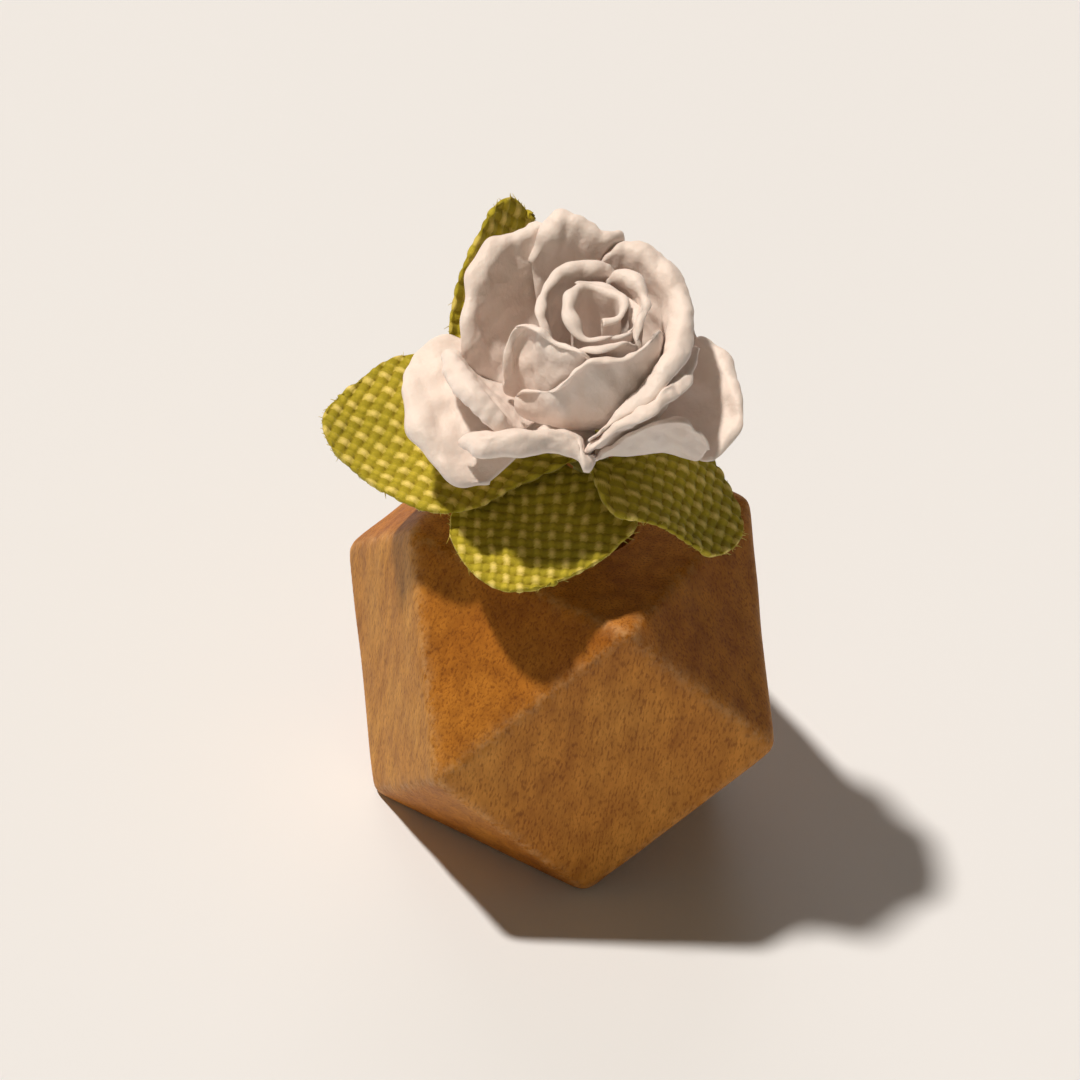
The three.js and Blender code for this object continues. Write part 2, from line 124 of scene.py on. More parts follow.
# The petals from the inside out. Each has its ring, the azimuth of its foot, its slope at foot
# and rim, how full it swells below the rim, the radius and the turn of the roll along its rim,
# and its rim from one side to the other.
PETALS = {
    "inner_petal_front": dict(
        ring="inner", at=262, slopes=(40, 95), swell=0.4, roll=(0.22, 150),
        rim=[(218, 3.0, 5.6), (236, 3.1, 6.7), (254, 3.2, 6.9), (270, 3.0, 7.0), (288, 2.8, 7.0),
             (308, 2.7, 6.4)]),
    "inner_petal_right": dict(
        ring="inner", at=5, slopes=(40, 92), swell=0.4, roll=(0.28, 150),
        rim=[(-62, 2.7, 6.3), (-42, 2.6, 7.1), (-20, 2.6, 7.3), (6, 2.9, 7.6), (28, 3.1, 7.8),
             (50, 3.2, 7.6), (68, 3.3, 6.6)]),
    "inner_petal_left": dict(
        ring="inner", at=125, slopes=(40, 92), swell=0.4, roll=(0.26, 150),
        rim=[(58, 3.5, 6.4), (78, 3.6, 7.4), (100, 3.6, 7.6), (120, 3.6, 7.5), (140, 3.5, 7.3),
             (160, 3.4, 7.2), (180, 3.3, 6.9), (194, 3.2, 5.8)]),
    "cup_petal_front": dict(
        ring="cup", at=215, slopes=(15, 110), swell=0.55, roll=(0.3, 150),
        rim=[(182, 5.2, 3.2), (176, 5.2, 4.5), (169, 4.8, 5.6), (169, 4.3, 6.2), (179, 3.9, 6.5),
             (194, 3.6, 6.7), (212, 3.4, 6.7), (230, 3.3, 6.7), (248, 3.4, 6.4), (262, 3.5, 5.6)]),
    "cup_petal_front_right": dict(
        ring="cup", at=280, slopes=(15, 108), swell=0.6, roll=(0.3, 150),
        rim=[(196, 5.1, 3.2), (214, 5.1, 4.5), (229, 5.0, 5.3), (236, 4.5, 6.0), (247, 3.9, 6.6),
             (263, 3.8, 6.6), (279, 3.8, 6.6), (295, 3.6, 6.7), (311, 3.5, 6.7), (327, 3.4, 6.7),
             (343, 3.5, 6.2), (352, 3.8, 5.2)]),
    "middle_petal_right": dict(
        ring="middle", at=-5, slopes=(25, 72), swell=0.45, roll=(0.7, 130),
        rim=[(-109, 5.9, 2.9), (-93, 5.3, 3.9), (-70, 5.2, 4.8), (-48, 5.0, 5.4), (-22, 4.9, 5.4),
             (-6, 5.2, 5.9), (18, 5.8, 6.4), (37, 6.2, 6.9), (56, 6.3, 7.3), (67, 5.7, 7.2),
             (75, 5.1, 6.3)]),
    "middle_petal_back": dict(
        ring="middle", at=84, slopes=(30, 75), swell=0.45, roll=(0.5, 150),
        rim=[(60, 5.9, 6.2), (66, 6.1, 7.3), (75, 6.2, 8.0), (85, 6.6, 8.6), (94, 6.9, 8.6),
             (103, 6.7, 7.8), (112, 6.2, 6.4)]),
    "middle_petal_left": dict(
        ring="middle", at=132, slopes=(25, 72), swell=0.45, roll=(0.4, 130),
        rim=[(84, 6.3, 6.4), (96, 7.2, 7.6), (107, 7.4, 7.6), (122, 7.9, 7.4), (140, 7.8, 6.4),
             (156, 7.4, 5.0), (164, 7.3, 3.4)]),
    "middle_petal_front_right": dict(
        ring="middle", at=296, slopes=(8, 80), swell=0.45, roll=(0.5, 140),
        rim=[(250, 5.8, 1.9), (254, 5.9, 2.6), (260, 5.9, 3.2), (269, 5.9, 4.0), (281, 5.9, 4.5),
             (295, 5.9, 4.8), (310, 5.8, 4.7), (327, 5.5, 4.6), (343, 5.5, 4.7), (352, 5.6, 4.0)]),
    "middle_petal_front_left": dict(
        ring="middle", at=165, slopes=(12, 60), swell=0.45, roll=(0.65, 150),
        rim=[(157, 7.9, 3.0), (168, 8.3, 4.0), (182, 8.2, 4.3), (196, 8.0, 4.2), (206, 7.7, 3.6),
             (211, 7.3, 2.9)]),
    "outer_petal_front": dict(
        ring="middle", at=230, slopes=(-6, 60), swell=0.65, roll=(0.9, 165),
        rim=[(200, 8.9, 2.0), (208, 8.9, 2.7), (220, 8.0, 3.2), (234, 6.8, 3.1), (247, 6.0, 2.5),
             (256, 5.4, 1.7)]),
    "outer_petal_front_right": dict(
        ring="outer", at=285, slopes=(-15, 70), swell=0.9, roll=(0.25, 120),
        rim=[(250, 4.9, 0.7), (262, 5.1, 1.5), (276, 5.3, 2.5), (291, 5.7, 3.1), (303, 6.3, 2.9),
             (310, 7.0, 1.9), (313, 7.5, 0.9)]),
    "outer_petal_right": dict(
        ring="outer", at=347, slopes=(5, 40), swell=0.45, roll=(0.35, 110),
        rim=[(314, 7.8, 0.2), (323, 8.2, 0.9), (332, 8.5, 1.6), (345, 7.9, 2.0), (363, 7.6, 2.1),
             (378, 7.0, 2.3)]),
    "outer_petal_left": dict(
        ring="outer", at=182, slopes=(8, -5), swell=0.45, roll=(0.3, 110),
        rim=[(143, 8.4, 2.4), (158, 10.2, 2.2), (176, 10.3, 1.9), (192, 10.1, 1.0), (206, 9.5, 0.0),
             (212, 8.2, -0.2)]),
    "outer_petal_back_right": dict(
        ring="outer", at=48, slopes=(5, 30), swell=0.45, roll=(0.4, 120),
        rim=[(12, 6.8, 2.0), (28, 7.2, 2.8), (44, 7.4, 3.2), (60, 7.4, 3.1), (74, 7.2, 2.5),
             (82, 6.9, 1.8)]),
    "outer_petal_back_left": dict(
        ring="outer", at=113, slopes=(5, 20), swell=0.45, roll=(0.4, 120),
        rim=[(80, 6.8, 2.0), (94, 7.4, 2.8), (108, 7.6, 3.1), (122, 7.8, 2.9), (136, 7.6, 2.2),
             (145, 7.2, 1.4)]),
}

# Each petal's crumples have a seed of their own.
FIRST_PETAL_SEED = 11
PETAL_SEED_STEP = 3

# The paper's thickness, and a petal's cells across and along.
PAPER = 0.16
PETAL_GRID = (84, 72)

# How far the upper handle of a petal's rib is pulled back, the share of its rows that roll, how
# much thinner the roll is at both ends, and where the roll's crest lies on its radius.
UPPER_PULL = 0.35
ROLL_SHARE = 0.3
ROLL_TAPER = 0.75
CREST = 0.707

# The point that petals lie round, layer over layer, how far out the rays start that find the
# layer inside a petal, and the gap kept between layers.
HEART = np.array([0.0, 0.0, 2.0])
REACH = 30.0
LAYER_GAP = 0.07

# The crumples of the petals: the depth, the wavelength and the added seed of each size, and the
# shares of a petal's length between which they grow.
CRUMPLES = [(0.16, 4.5, 0), (0.09, 1.7, 50), (0.035, 0.8, 80)]
CRUMPLED = (0.15, 0.8)

# The bud is a strip rolled up from the inside out. Its cells along the strip and up, the azimuth
# where it starts, how far it turns, the radius where it starts and how much that grows, its
# shape from foot to rim as shares of the radius, the height of its foot, the share of its rows
# that fold outwards, and how far they fold.
BUD_GRID = (220, 48)
BUD_START = 265
BUD_TURN = 560
BUD_RADIUS = 1.1
BUD_GROWTH = 1.15
BUD_SHAPE = [0.35, 0.62, 0.85, 1.0, 1.0]
BUD_FOOT = 0.6
BUD_FOLD_SHARE = 0.25
BUD_FOLD_TURN = 150

# Each leaf: azimuth, height of its foot, roll about its midrib, how far its tip is rounded off,
# its midrib as (distance out, rise), its widths to the right and left of the midrib from foot
# to tip, seen from the stem, and the angle of its threads from the midrib.
LEAVES = {
    "leaf_back_left": dict(
        at=107, foot=26.2, roll=-12, tip=0.06, weave=-20,
        midrib=[(2.1, 0), (5, -0.3), (8.8, 2.4), (10.6, 8.6)],
        right=[0.6, 2.6, 4.6, 4.9, 3.8, 1.3], left=[0.6, 2.4, 4.6, 4.9, 3.9, 1.8]),
    "leaf_left": dict(
        at=165, foot=25.5, roll=18, tip=0.08, weave=-24,
        midrib=[(1.9, 0), (6, -0.9), (10.5, -0.7), (15, -0.4)],
        right=[0.8, 2.9, 5.2, 5.7, 4.8, 1.9], left=[1.6, 3.4, 4.9, 5.3, 4.1, 2.1]),
    "leaf_front": dict(
        at=226, foot=24.4, roll=0, tip=0.22, weave=26,
        midrib=[(1.68, 0), (5, -0.75), (7.8, -1.5), (10.4, -2.4)],
        right=[2.2, 3.9, 4.4, 4.6, 4.5, 3.9], left=[2.6, 4.7, 4.6, 4.3, 3.6, 2.6]),
    "leaf_right": dict(
        at=325, foot=25.5, roll=0, tip=0.12, weave=14,
        midrib=[(1.75, 0), (4.3, -0.7), (6.8, -2.1), (9.2, -3.7)],
        right=[2.3, 4.9, 4.4, 3.7, 3.2, 2.6], left=[1.2, 3.4, 3.9, 3.7, 3.1, 2.0]),
}

# Each leaf's waves and loose threads have a seed of their own.
FIRST_LEAF_SEED = 31

# The radius about which the feet of the leaves bend round the tape, the least share of it at
# which they do, and the share of a leaf that bends so.
TAPE_CLEARANCE = 1.7
CLEARANCE_LEAST = 0.3
FOOT_SHARE = 0.25

# The width of a leaf's cells, the depth and the wavelength of its sway, the shares of its length
# between which the sway grows, and the depth and the wavelength of its threads' wander.
LEAF_CELL = 0.08
LEAF_SWAY = (0.16, 6)
SWAYING = (0.1, 0.6)
THREAD_WANDER = (0.07, 3)

# The cloth: pitch and half width of the threads along y and of those along x, how high they rise
# and wave above its middle, and half the thickness of the film between them.
THREAD_PITCH = (0.62, 0.84)
THREAD_RADIUS = (0.3, 0.22)
THREAD_RISE = 0.15
THREAD_WAVE = 0.07
WEB = 0.05

# The loose thread ends: the share of a cut edge's points that has one, their shortest length and
# how much longer some are, how far they start inside the edge, how much they stray and curl,
# their radius at the root, how much of it they lose, their rings of points, and their place on
# the cloth's colour ramps, near the painted highlight of the threads' crests.
FRINGE_SHARE = 0.55
FRINGE_LENGTH = 0.1
FRINGE_LONGER = 0.35
FRINGE_ROOT = 0.12
FRINGE_STRAY = 0.4
FRINGE_CURL = 0.25
FIBRE_RADIUS = 0.035
FIBRE_TAPER = 0.65
FIBRE_RINGS = 5
FIBRE_TONE = {"thread": 0.8, "relief": 0.85}


# Curves and fields
def spline(points, t):
    """A uniform Catmull-Rom curve through points, at t from 0 to 1."""
    points = np.asarray(points, float)
    last = len(points) - 1
    place = np.asarray(t, float) * last
    i = np.clip(np.floor(place).astype(int), 0, last - 1)
    w = (place - i)[..., None]
    longer = np.concatenate([[2 * points[0] - points[1]], points, [2 * points[-1] - points[-2]]])
    before, a, b, after = (longer[i + k] for k in range(4))
    start, end = (b - before) / 2, (after - a) / 2
    return ((2 * a - 2 * b + start + end) * w**3 + (-3 * a + 3 * b - 2 * start - end) * w**2
            + start * w + a)


def smoothstep(x, low, high):
    """A smooth rise from 0 at low to 1 at high."""
    t = np.clip((x - low) / (high - low), 0, 1)
    return t * t * (3 - 2 * t)


def waves(points, wavelength, seed, count=7):
    """A smooth seeded field of about -1 to 1 over points, from sine waves in all directions."""
    random = np.random.default_rng(seed)
    total = np.zeros(points.shape[:-1])
    for _ in range(count):
        direction = random.normal(size=3)
        length = wavelength * random.uniform(*WAVE_SPREAD)
        direction *= 2 * pi / (length * np.linalg.norm(direction))
        total += np.sin(points @ direction + random.uniform(0, 2 * pi))
    return total / np.sqrt(count)


def flower_axes():
    """The turn that takes +Z to the flower's leaning axis."""
    axis = FLOWER_LEAN / np.linalg.norm(FLOWER_LEAN)
    turn = Vector((0, 0, 1)).rotation_difference(Vector(axis)).to_matrix()
    return np.array(turn)


FLOWER_TURN = flower_axes()


def to_world(points):
    """Points of the flower's frame in the CAD frame."""
    return points @ FLOWER_TURN.T + FLOWER_BASE


def normals_of(grid):
    """The unit normal at each point of a grid."""
    du = np.gradient(grid, axis=1)
    dv = np.gradient(grid, axis=0)
    n = np.cross(du, dv)
    return n / np.maximum(np.linalg.norm(n, axis=-1, keepdims=True), 1e-12)


# Meshes
def add_mesh(name, points, faces, look, values=None):
    """A smooth mesh from points in millimetres. values are named numbers for each point."""
    mesh = bpy.data.meshes.new(name)
    points = np.asarray(points, float)
    faces = faces.tolist() if hasattr(faces, "tolist") else faces
    mesh.from_pydata((points * MM).tolist(), [], faces)
    mesh.shade_smooth()
    for key, numbers in (values or {}).items():
        layer = mesh.attributes.new(key, "FLOAT", "POINT")
        layer.data.foreach_set("value", np.asarray(numbers, np.float32).ravel())
    made = bpy.data.objects.new(name, mesh)
    bpy.context.scene.collection.objects.link(made)
    made.data.materials.append(look)
    return made


def grid_faces(rows, columns, closed=False, start=0):
    """The quads of a grid of points, row by row; closed joins its last column to its first."""
    cells = columns if closed else columns - 1
    j, i = np.meshgrid(np.arange(rows - 1), np.arange(cells), indexing="ij")
    k = (i + 1) % columns
    a, b, c, d = j * columns + i, j * columns + k, (j + 1) * columns + k, (j + 1) * columns + i
    return np.stack([a, b, c, d], -1).reshape(-1, 4) + start


def plate(name, middle, thickness, look, relief=None, values=None, edge=3):
    """A closed plate about the grid middle, its borders rounded off over edge cells.

    relief is how much further it stands out in front and behind. values are named numbers for
    each grid point.
    """
    rows, columns = middle.shape[:2]
    n = normals_of(middle)
    j, i = np.meshgrid(np.arange(rows), np.arange(columns), indexing="ij")
    inward = np.minimum(np.minimum(i, columns - 1 - i), np.minimum(j, rows - 1 - j))
    round_off = np.sqrt(np.clip(1 - (1 - np.clip(inward / edge, 0, 1)) ** 2, BORDER_LEAST, 1))
    half = thickness / 2 * round_off
    front, back = (half + added * round_off for added in (relief or (0, 0)))
    points = np.concatenate([(middle + n * front[..., None]).reshape(-1, 3),
                             (middle - n * back[..., None]).reshape(-1, 3)])
    top = grid_faces(rows, columns)
    size = rows * columns
    number = j * columns + i
    border = np.concatenate([number[0], number[1:, -1], number[-1, -2::-1], number[-2:0:-1, 0]])
    after = np.roll(border, -1)
    rim = np.stack([border + size, after + size, after, border], -1)
    faces = np.concatenate([top, top[:, ::-1] + size, rim])
    both = {key: np.concatenate([v.ravel(), v.ravel()]) for key, v in (values or {}).items()}
    return add_mesh(name, points, faces, look, both)


# Materials
def material(name):
    """A new material with its nodes, its links and its shader."""
    made = bpy.data.materials.new(name)
    made.use_nodes = True
    nodes, links = made.node_tree.nodes, made.node_tree.links
    shader = nodes["Principled BSDF"]
    return made, nodes, links, shader


def ramp(nodes, links, source, stops):
    """A colour ramp over source, with stops of (place, colour)."""
    node = nodes.new("ShaderNodeValToRGB")
    while len(node.color_ramp.elements) < len(stops):
        node.color_ramp.elements.new(0.5)
    for element, (place, colour) in zip(node.color_ramp.elements, stops):
        element.position = place
        element.color = (*colour, 1)
    links.new(source, node.inputs["Fac"])
    return node.outputs["Color"]


def object_noise(nodes, links, scale, stretch=(1, 1, 1), detail=3.0, roughness=0.55):
    """Noise over the object's own coordinates, scale in features per millimetre."""
    coordinates = nodes.new("ShaderNodeTexCoord")
    mapping = nodes.new("ShaderNodeMapping")
    mapping.inputs["Scale"].default_value = [s / MM for s in stretch]
    links.new(coordinates.outputs["Object"], mapping.inputs["Vector"])
    noise = nodes.new("ShaderNodeTexNoise")
    noise.inputs["Scale"].default_value = scale
    noise.inputs["Detail"].default_value = detail
    noise.inputs["Roughness"].default_value = roughness
    links.new(mapping.outputs["Vector"], noise.inputs["Vector"])
    return noise.outputs["Fac"]


def mix(nodes, links, factor, a, b, blend="MIX"):
    """A mix of the colours a and b. Each of them and the factor is a socket or a plain value."""
    node = nodes.new("ShaderNodeMix")
    node.data_type = "RGBA"
    node.blend_type = blend
    # The node has sockets for every data type, and these are the ones for colours.
    for socket, value in ((node.inputs[0], factor), (node.inputs[6], a), (node.inputs[7], b)):
        if isinstance(value, bpy.types.NodeSocket):
            links.new(value, socket)
        elif isinstance(value, tuple):
            socket.default_value = (*value, 1)
        else:
            socket.default_value = value
    return node.outputs[2]


def bump(nodes, links, shader, heights):
    """Bumps on a shader: heights are (source, height in millimetres, how strongly)."""
    normal = None
    for source, height, strength in heights:
        node = nodes.new("ShaderNodeBump")
        node.inputs["Distance"].default_value = height * MM
        node.inputs["Strength"].default_value = strength
        links.new(source, node.inputs["Height"])
        if normal is not None:
            links.new(normal, node.inputs["Normal"])
        normal = node.outputs["Normal"]
    links.new(normal, shader.inputs["Normal"])


def attribute(nodes, name):
    """The numbers that the meshes carry under a name."""
    node = nodes.new("ShaderNodeAttribute")
    node.attribute_name = name
    return node.outputs["Fac"]


def toned(nodes, links, colour, factor, source, stops):
    """The colour multiplied by a ramp over source, as strongly as factor says."""
    return mix(nodes, links, factor, colour, ramp(nodes, links, source, stops), "MULTIPLY")


def tinted(nodes, links, colour, where, tint):
    """The colour, multiplied by a tint where the meshes' attribute of that name is 1."""
    changed = mix(nodes, links, 1.0, colour, tint, "MULTIPLY")
    return mix(nodes, links, attribute(nodes, where), colour, changed)


def finish(links, shader, colour, numbers):
    """Gives the shader its colour, and its sockets the numbers listed under their names."""
    links.new(colour, shader.inputs["Base Color"])
    for socket, number in numbers.items():
        shader.inputs[socket].default_value = number


def wood_material():
    made, nodes, links, shader = material("wood")
    broad = object_noise(nodes, links, scale=0.2, stretch=(1, 1, 0.6), detail=4)
    colour = ramp(nodes, links, broad, [
        (0.3, (0.48, 0.18, 0.024)), (0.52, (0.56, 0.23, 0.034)), (0.72, (0.63, 0.28, 0.050))])
    figure = object_noise(nodes, links, scale=1.1, stretch=(1, 1, 0.35), detail=4, roughness=0.6)
    colour = toned(nodes, links, colour, 0.85, figure, [
        (0.35, (0.70, 0.64, 0.56)), (0.57, (1.0, 1.0, 1.0)), (0.74, (1.18, 1.22, 1.32))])
    pore = object_noise(nodes, links, scale=8, stretch=(1, 1, 0.3), detail=2, roughness=0.5)
    colour = toned(nodes, links, colour, 0.8, pore, [
        (0.33, (0.54, 0.45, 0.34)), (0.5, (1.02, 1.02, 1.02))])
    # Painted shade: the triangles are made darker and redder, to deepen the shadow that falls on
    # them.
    colour = tinted(nodes, links, colour, "triangle", (0.79, 0.71, 0.46))
    # Painted light: the face towards -X is made paler and bluer, as if a cool light fell on it from
    # the left.
    colour = tinted(nodes, links, colour, "left_face", (0.92, 1.05, 1.25))
    scuff = object_noise(nodes, links, scale=1.6, detail=4, roughness=0.7)
    scuffed = ramp(nodes, links, scuff, [(0.4, (0, 0, 0)), (0.62, (0.55, 0.55, 0.55))])
    rubbed = nodes.new("ShaderNodeMath")
    rubbed.operation = "MULTIPLY"
    links.new(attribute(nodes, "edge"), rubbed.inputs[0])
    links.new(scuffed, rubbed.inputs[1])
    colour = mix(nodes, links, rubbed.outputs[0], colour, (0.68, 0.40, 0.17))
    finish(links, shader, colour, {"Roughness": 0.6, "Specular IOR Level": 0.2})
    grit = object_noise(nodes, links, scale=7, stretch=(1, 1, 0.6), detail=3, roughness=0.6)
    bump(nodes, links, shader, [(figure, 0.10, 0.4), (pore, 0.05, 0.6), (grit, 0.03, 0.5)])
    return made


def paper_material():
    made, nodes, links, shader = material("white_paper")
    cloud = object_noise(nodes, links, scale=0.35)
    colour = ramp(nodes, links, cloud, [(0.3, (0.84, 0.74, 0.69)), (0.7, (0.93, 0.83, 0.78))])
    finish(links, shader, colour, {
        "Roughness": 0.5, "Specular IOR Level": 0.35, "Subsurface Weight": 0.25,
        "Subsurface Radius": (1.0, 0.7, 0.6), "Subsurface Scale": 0.6 * MM})
    fibres = object_noise(nodes, links, scale=6, detail=4, roughness=0.65)
    crinkle = object_noise(nodes, links, scale=1.3, roughness=0.5)
    bump(nodes, links, shader, [(crinkle, 0.25, 0.5), (fibres, 0.02, 0.5)])
    return made


def fabric_material():
    made, nodes, links, shader = material("green_fabric")
    # The threads along x are paler than those along y, and the film between them is darkest, which
    # is painted shade between the threads.
    colour = ramp(nodes, links, attribute(nodes, "thread"), [
        (0.0, (0.38, 0.31, 0.012)), (0.5, (0.47, 0.40, 0.024)), (1.0, (0.74, 0.62, 0.14))])
    # Painted shade and highlight: the cloth is darker where it lies low, and paler and whiter on
    # the crests of its threads.
    colour = toned(nodes, links, colour, 1.0, attribute(nodes, "relief"), [
        (0.2, (0.80, 0.76, 0.55)), (0.8, (0.92, 0.92, 0.8)), (1.0, (1.22, 1.20, 1.6))])
    dye = object_noise(nodes, links, scale=0.5)
    colour = toned(nodes, links, colour, 0.7, dye, [
        (0.3, (0.82, 0.84, 0.7)), (0.7, (1.12, 1.1, 1.2))])
    fuzz = object_noise(nodes, links, scale=9, roughness=0.6)
    colour = toned(nodes, links, colour, 0.6, fuzz, [
        (0.3, (0.8, 0.8, 0.8)), (0.7, (1.15, 1.15, 1.15))])
    finish(links, shader, colour, {
        "Roughness": 0.8, "Specular IOR Level": 0.25, "Sheen Weight": 0.15,
        "Sheen Roughness": 0.5})
    bump(nodes, links, shader, [(fuzz, 0.03, 0.5)])
    return made


def tape_material():
    made, nodes, links, shader = material("green_tape")
    crepe = object_noise(nodes, links, scale=3.5, stretch=(1, 1, 0.3))
    colour = ramp(nodes, links, crepe, [(0.3, (0.16, 0.15, 0.015)), (0.7, (0.28, 0.25, 0.03))])
    finish(links, shader, colour, {"Roughness": 0.7})
    bump(nodes, links, shader, [(crepe, 0.06, 0.6)])
    return made


def glue_material():
    made, nodes, links, shader = material("glue")
    haze = object_noise(nodes, links, scale=0.8, detail=2)
    colour = ramp(nodes, links, haze, [(0.3, (0.66, 0.58, 0.38)), (0.7, (0.78, 0.72, 0.54))])
    finish(links, shader, colour, {
        "Roughness": 0.3, "Subsurface Weight": 0.3, "Subsurface Scale": 1.0 * MM})
    return made


WOOD = wood_material()
WHITE_PAPER = paper_material()
GREEN_FABRIC = fabric_material()
GREEN_TAPE = tape_material()
GLUE = glue_material()


def place(piece, slot, *nodes):
    """The piece rides on the root body and stands for the nodes. slot is not used."""
    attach(piece, "root")
    if nodes:
        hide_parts(*nodes)
    return piece


# The block
def block_planes():
    """The cuboctahedron's outward normals and their distances from its centre."""
    half = BLOCK / 2
    squares = [np.eye(3)[axis] * sign for axis in range(3) for sign in (1, -1)]
    corners = [np.array([x, y, z]) for x in (1, -1) for y in (1, -1) for z in (1, -1)]
    triangles = [corner / np.sqrt(3) for corner in corners]
    distances = [half] * len(squares) + [half * 2 / np.sqrt(3)] * len(triangles)
    return np.array(squares + triangles), np.array(distances)


def block_skin(directions):
    """The rounded block's skin along directions from its centre, found step by step.

    Also gives how near an edge each point is, how far it is on a triangle and how far it is on
    the square face towards -X.
    """
    normals, distances = block_planes()
    reach = directions @ normals.T
    r = np.full(directions.shape[:-1], BLOCK / 2 * SKIN_START)
    for _ in range(SKIN_STEPS):
        inside = EDGE_SHARPNESS * (r[..., None] * reach - distances)
        most = inside.max(-1, keepdims=True)
        weight = np.exp(inside - most)
        total = weight.sum(-1)
        slope = (weight * reach).sum(-1) / total
        r = r - (most[..., 0] + np.log(total)) / EDGE_SHARPNESS / np.maximum(slope, SLOPE_LEAST)
    share = weight / total[..., None]
    edge = 2 * (1 - share.max(-1))
    return directions * r[..., None], edge, share[..., SQUARE_FACES:].sum(-1), share[..., LEFT_FACE]


def hole_profile():
    """The hole as (radius, height above the block's centre), from its lip to its bottom."""
    rows = []
    for turn in np.linspace(0, pi / 2, LIP_ROWS + 1)[1:]:
        rows.append((HOLE_RADIUS + HOLE_LIP * (1 - sin(turn)), -HOLE_LIP * (1 - cos(turn))))
    depths = np.linspace(HOLE_LIP + 0.3, HOLE_DEPTH - 0.2, WALL_ROWS)
    rows += [(HOLE_RADIUS, -depth) for depth in depths]
    rows += [(HOLE_RADIUS - 0.2, -HOLE_DEPTH), (HOLE_RADIUS / 2, -HOLE_DEPTH)]
    return np.array(rows) + [0, BLOCK / 2]


def capped_tube(grid, first, last):
    """The points and faces of a grid of rings, closed at both ends by a fan to a point."""
    rows, around = grid.shape[:2]
    points = np.concatenate([grid.reshape(-1, 3), [first, last]])
    quads = grid_faces(rows, around, closed=True).tolist()
    after = np.roll(np.arange(around), -1).tolist()
    centre, end = rows * around, (rows - 1) * around
    start_fan = [[centre, b, a] for a, b in enumerate(after)]
    end_fan = [[centre + 1, end + a, end + b] for a, b in enumerate(after)]
    return points, quads + start_fan + end_fan


def block():
    """The wooden block, a little worn above its base, with its blind hole."""
    around, rows = BLOCK_GRID
    angle = np.arange(around) * 2 * pi / around
    ring = np.stack([np.cos(angle), np.sin(angle), np.zeros(around)], -1)
    up = np.array([0, 0, 1])
    mouth = np.arctan2(HOLE_RADIUS + HOLE_LIP, BLOCK / 2)
    polar = np.linspace(pi, mouth, rows)[1:, None, None]
    skin, *shares = block_skin(np.sin(polar) * ring + np.cos(polar) * up)
    wear = waves(skin, wavelength=9, seed=3) + 0.5 * waves(skin, wavelength=3, seed=4)
    off_the_base = smoothstep(skin[..., 2], -BLOCK / 2 + 0.1, -BLOCK / 2 + 0.8)
    skin = skin * (1 - off_the_base * WORN_OFF * (1 + wear) / BLOCK)[..., None]
    profile = hole_profile()[:, None, :]
    hole = profile[..., :1] * ring + profile[..., 1:] * up
    grid = np.concatenate([skin, hole]) + up * BLOCK / 2
    points, faces = capped_tube(grid, 0 * up, (BLOCK - HOLE_DEPTH) * up)
    bare = np.zeros(len(points) - skin.shape[0] * around)
    # The shares on a triangle and on the face towards -X carry the wood's painted shade and painted
    # light.
    values = {key: np.concatenate([share.ravel(), bare])
              for key, share in zip(("edge", "triangle", "left_face"), shares)}
    place(add_mesh("block_wood", points, faces, WOOD, values), "wood", "wood_block")


# The petals
def petal_points(ring, at, slopes, swell, roll, rim):
    """The grid of a petal about the flower's axis: across it, and from its foot to its rolled rim.

    Also gives how far along its rib each point is, from 0 at the foot to 1 where the roll starts.
    """
    foot_radius, foot_height, foot_half = RINGS[ring]
    across, along = PETAL_GRID
    u, t = np.meshgrid(np.linspace(0, 1, across + 1), np.linspace(0, 1, along + 1))
    side = 2 * u - 1
    v = np.clip(t / (1 - ROLL_SHARE), 0, 1)
    azimuth, out, up = np.moveaxis(spline(rim, u), -1, 0)
    start, end = radians(slopes[0]), radians(slopes[1])
    radius = roll[0] * (1 - ROLL_TAPER * np.abs(side) ** 4)
    out = out - radius * (CREST + sin(end))
    up = up - radius * (CREST - cos(end))
    length = np.hypot(out - foot_radius, up - foot_height)
    lower, upper = swell * length, UPPER_PULL * length
    rib_r = (foot_radius, foot_radius + lower * cos(start), out - upper * cos(end), out)
    rib_h = (foot_height, foot_height + lower * sin(start), up - upper * sin(end), up)
    weights = ((1 - v) ** 3, 3 * v * (1 - v) ** 2, 3 * v * v * (1 - v), v**3)
    r, h = (sum(w * p for w, p in zip(weights, rib)) for rib in (rib_r, rib_h))
    turned = radians(roll[1]) * np.clip((t - (1 - ROLL_SHARE)) / ROLL_SHARE, 0, 1)
    r = r + radius * (sin(end) - np.sin(end - turned))
    h = h + radius * (-cos(end) + np.cos(end - turned))
    foot_azimuth = at + side * foot_half
    angle = np.radians(foot_azimuth + (azimuth - foot_azimuth) * (1 - (1 - v) ** 2))
    return np.stack([r * np.cos(angle), r * np.sin(angle), h], -1), v


def spread(moves, widen, passes):
    """Widens moves by some cells and evens them out, so that a petal bends rather than steps."""
    def beside(a):
        padded = np.pad(a, 1, mode="edge")
        return padded[:-2, 1:-1], padded[2:, 1:-1], padded[1:-1, :-2], padded[1:-1, 2:]

    for _ in range(widen):
        moves = np.maximum.reduce([moves, *beside(moves)])
    evened = moves
    for _ in range(passes):
        evened = np.maximum(moves, sum(beside(evened)) / 4)
    return evened


